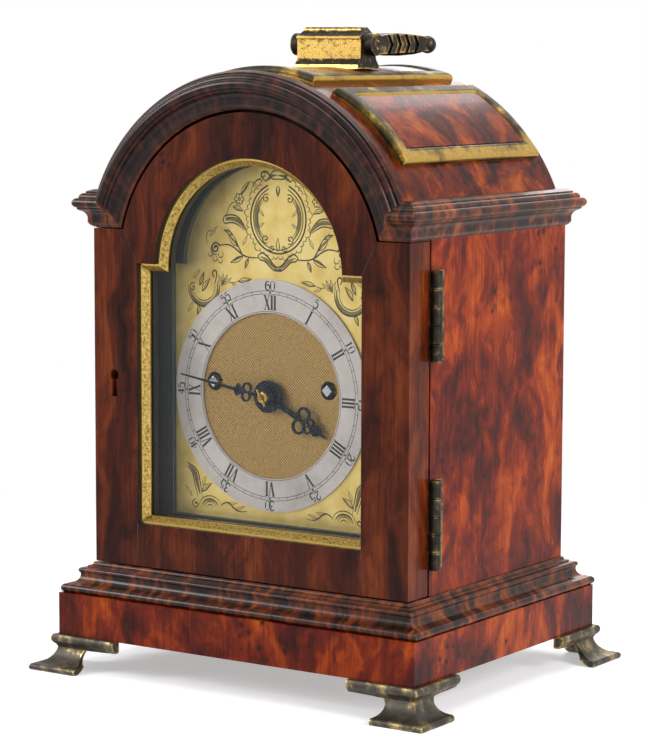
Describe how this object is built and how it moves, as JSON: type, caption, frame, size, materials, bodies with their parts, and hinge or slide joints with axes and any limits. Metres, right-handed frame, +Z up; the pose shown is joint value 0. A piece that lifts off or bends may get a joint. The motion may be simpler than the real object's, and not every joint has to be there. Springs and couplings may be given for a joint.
{
  "type": "bracket clock",
  "caption": "Small break-arch table clock in a burr veneered case with brass bracket feet, folding handle, hinged glazed front door, arched engraved dial and a fusee movement.",
  "frame": {"origin": "centre of the case on the surface that the feet stand on", "axes": "+Z up, -Y out of the dial, +X to the right of someone facing the dial"},
  "size_m": [0.2514, 0.2084, 0.3463],
  "materials": {
    "burr": "polished burr veneer",
    "burr_door": "polished brown burr veneer",
    "dark_moulding": "ebonised and waxed",
    "carcass": "plain oak",
    "dark_mask": "dark paint",
    "patinated_brass": "cast, dark patina",
    "gilt_brass": "lacquered",
    "dial_brass": "engraved and matted",
    "silvered": "silvered",
    "movement_brass": "polished",
    "blued_steel": "blued",
    "steel": "polished",
    "glass": "clear",
    "bell_metal": "cast bell metal",
    "gut": "twisted gut"
  },
  "bodies": {
    "case": {"plinth": "burr", "base_board": "carcass", "base_moulding": "dark_moulding", "cornice": "dark_moulding", "arch_moulding": "dark_moulding", "right_side": "burr", "left_side": "burr", "roof": "burr", "arch_head": "dark_moulding", "dial_mask": "dark_mask", "back_frame": "carcass", "foot_front_right": "patinated_brass", "foot_front_left": "patinated_brass", "foot_back_right": "patinated_brass", "foot_back_left": "patinated_brass", "door_hinge_case_leaves": "patinated_brass", "turn_button_screw": "steel", "rear_hinge_fixed_leaves": "gilt_brass", "roof_panels": "burr", "roof_panel_frames": "patinated_brass", "handle_pedestal": "patinated_brass", "dial_plate": "dial_brass", "chapter_ring": "silvered", "gut_lines": "gut", "bell": "bell_metal", "bell_stand": "steel", "front_plate": "movement_brass", "back_plate": "movement_brass", "pillars": "movement_brass", "seat_board": "carcass"},
    "front_door": {"door_frame": "burr_door", "sight_frame": "gilt_brass", "door_glass": "glass", "glazing_beads": "dark_mask", "door_lock": "steel", "door_hinge_door_leaves": "patinated_brass"},
    "lock_bolt": {"lock_bolt": "steel"},
    "rear_door": {"rear_door_frame": "carcass", "rear_door_glass": "glass", "rear_hinge_door_leaves": "gilt_brass"},
    "turn_button": {"turn_button": "gilt_brass"},
    "handle": {"handle": "patinated_brass"},
    "minute_hand": {"minute_hand": "blued_steel", "cannon_wheel": "movement_brass"},
    "hour_hand": {"hour_hand": "blued_steel", "hour_wheel": "movement_brass"},
    "minute_wheel": {"minute_wheel": "movement_brass"},
    "third_wheel": {"third_wheel": "movement_brass"},
    "centre_wheel": {"centre_wheel": "movement_brass", "hand_collet": "gilt_brass"},
    "escape_wheel": {"escape_wheel": "movement_brass"},
    "going_fusee": {"going_fusee": "movement_brass"},
    "going_barrel": {"going_barrel": "movement_brass"},
    "pendulum": {"anchor": "steel", "pendulum": "movement_brass"},
    "pin_wheel": {"pin_wheel": "movement_brass"},
    "strike_fusee": {"strike_fusee": "movement_brass"},
    "strike_barrel": {"strike_barrel": "movement_brass"},
    "fly": {"fly": "movement_brass"},
    "hammer": {"hammer": "steel"}
  },
  "joints": [
    {"name": "front_door_swing", "type": "hinge", "parent": "case", "child": "front_door", "pos_m": [0.1033, -0.0567, 0.15], "axis": [0, 0, 1], "range_deg": [0, 110]},
    {"name": "lock_bolt_slide", "type": "slide", "parent": "front_door", "child": "lock_bolt", "axis": [-1, 0, 0], "range_m": [0, 0.004]},
    {"name": "rear_door_swing", "type": "hinge", "parent": "case", "child": "rear_door", "pos_m": [0.07375, 0.0824, 0.15], "axis": [0, 0, -1], "range_deg": [0, 110]},
    {"name": "turn_button_turn", "type": "hinge", "parent": "case", "child": "turn_button", "pos_m": [-0.08, 0.0805, 0.152], "axis": [0, 1, 0], "range_deg": [0, 90]},
    {"name": "handle_swing", "type": "hinge", "parent": "case", "child": "handle", "pos_m": [0, 0.0065, 0.3372], "axis": [1, 0, 0], "range_deg": [0, 180]},
    {"name": "minute_hand_turn", "type": "hinge", "parent": "case", "child": "minute_hand", "pos_m": [0, 0, 0.1535], "axis": [0, 1, 0], "continuous": true},
    {"name": "hour_hand_turn", "type": "hinge", "parent": "case", "child": "hour_hand", "pos_m": [0, 0, 0.1535], "axis": [0, 1, 0], "continuous": true},
    {"name": "minute_wheel_turn", "type": "hinge", "parent": "case", "child": "minute_wheel", "pos_m": [0, 0, 0.134], "axis": [0, 1, 0], "continuous": true},
    {"name": "third_wheel_turn", "type": "hinge", "parent": "case", "child": "third_wheel", "pos_m": [0.003, 0, 0.17671], "axis": [0, 1, 0], "continuous": true},
    {"name": "centre_wheel_turn", "type": "hinge", "parent": "case", "child": "centre_wheel", "pos_m": [0, 0, 0.1535], "axis": [0, 1, 0], "continuous": true},
    {"name": "escape_wheel_turn", "type": "hinge", "parent": "case", "child": "escape_wheel", "pos_m": [0, 0, 0.19598], "axis": [0, 1, 0], "continuous": true},
    {"name": "going_fusee_turn", "type": "hinge", "parent": "case", "child": "going_fusee", "pos_m": [0.0365, 0, 0.1589], "axis": [0, 1, 0], "continuous": true},
    {"name": "going_barrel_turn", "type": "hinge", "parent": "case", "child": "going_barrel", "pos_m": [0.039, 0, 0.1055], "axis": [0, 1, 0], "continuous": true},
    {"name": "pendulum_swing", "type": "hinge", "parent": "case", "child": "pendulum", "pos_m": [0, 0, 0.21497], "axis": [0, 1, 0], "range_deg": [-2.5, 2.5]},
    {"name": "pin_wheel_turn", "type": "hinge", "parent": "case", "child": "pin_wheel", "pos_m": [-0.05068, 0, 0.19399], "axis": [0, 1, 0], "continuous": true},
    {"name": "strike_fusee_turn", "type": "hinge", "parent": "case", "child": "strike_fusee", "pos_m": [-0.0365, 0, 0.1589], "axis": [0, 1, 0], "continuous": true},
    {"name": "strike_barrel_turn", "type": "hinge", "parent": "case", "child": "strike_barrel", "pos_m": [-0.039, 0, 0.1055], "axis": [0, 1, 0], "continuous": true},
    {"name": "fly_turn", "type": "hinge", "parent": "case", "child": "fly", "pos_m": [-0.03716, 0, 0.20345], "axis": [0, 1, 0], "continuous": true},
    {"name": "hammer_lift", "type": "hinge", "parent": "case", "child": "hammer", "pos_m": [-0.046, 0, 0.217], "axis": [0, 1, 0], "range_deg": [-8, 0], "stiffness_Nm_per_rad": 0.03}
  ],
  "couplings": [
    {"joint": "minute_wheel_turn", "follows": "minute_hand_turn", "ratio": -1},
    {"joint": "hour_hand_turn", "follows": "minute_hand_turn", "ratio": 0.083333},
    {"joint": "third_wheel_turn", "follows": "escape_wheel_turn", "ratio": -0.083333},
    {"joint": "centre_wheel_turn", "follows": "escape_wheel_turn", "ratio": 0.0069444},
    {"joint": "going_fusee_turn", "follows": "escape_wheel_turn", "ratio": -0.0005787},
    {"joint": "going_barrel_turn", "follows": "escape_wheel_turn", "ratio": -0.00043794},
    {"joint": "strike_fusee_turn", "follows": "pin_wheel_turn", "ratio": -0.11111},
    {"joint": "strike_barrel_turn", "follows": "pin_wheel_turn", "ratio": -0.084084},
    {"joint": "fly_turn", "follows": "pin_wheel_turn", "ratio": -10}
  ]
}
